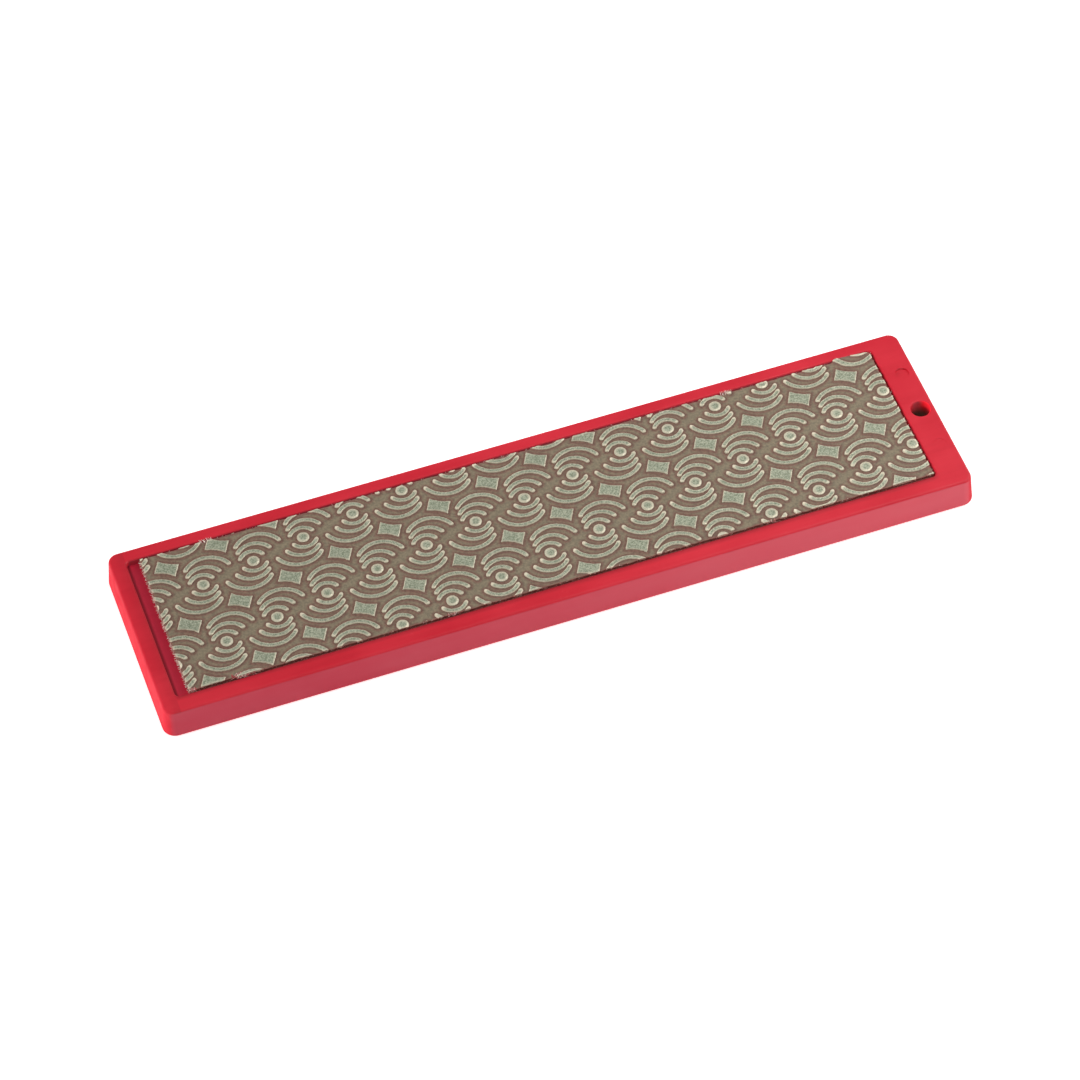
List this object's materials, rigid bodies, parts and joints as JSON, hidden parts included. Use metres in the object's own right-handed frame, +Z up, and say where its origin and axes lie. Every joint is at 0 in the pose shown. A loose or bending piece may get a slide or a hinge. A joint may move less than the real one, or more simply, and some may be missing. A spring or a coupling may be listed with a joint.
{
  "type": "edge tuning tool",
  "caption": "Flat hand stone for ski and snowboard edges: a patterned diamond pad bonded into a shallow recess in a moulded plastic plate with a hanging hole at one end.",
  "frame": {"origin": "middle of the plate's flat underside", "axes": "+X along the plate towards the hanging hole, +Y across it, +Z up through the abrasive"},
  "size_m": [0.1, 0.0254, 0.0041],
  "materials": {
    "red_plastic": "satin injection moulding",
    "adhesive": "pressure-sensitive film",
    "cloth": "plain weave, frayed at the cut",
    "resin": "matt, woven texture showing through",
    "nickel_diamond": "fine sparkling grit in nickel"
  },
  "bodies": {
    "root": {"backing_plate": "red_plastic", "adhesive_film": "adhesive", "backing_cloth": "cloth", "resin_fill": "resin", "abrasive_dots": "nickel_diamond", "inner_arcs_upper": "nickel_diamond", "inner_arcs_lower": "nickel_diamond", "middle_arcs_upper": "nickel_diamond", "middle_arcs_lower": "nickel_diamond", "outer_arcs_upper": "nickel_diamond", "outer_arcs_lower": "nickel_diamond", "abrasive_lozenges": "nickel_diamond"}
  },
  "joints": []
}
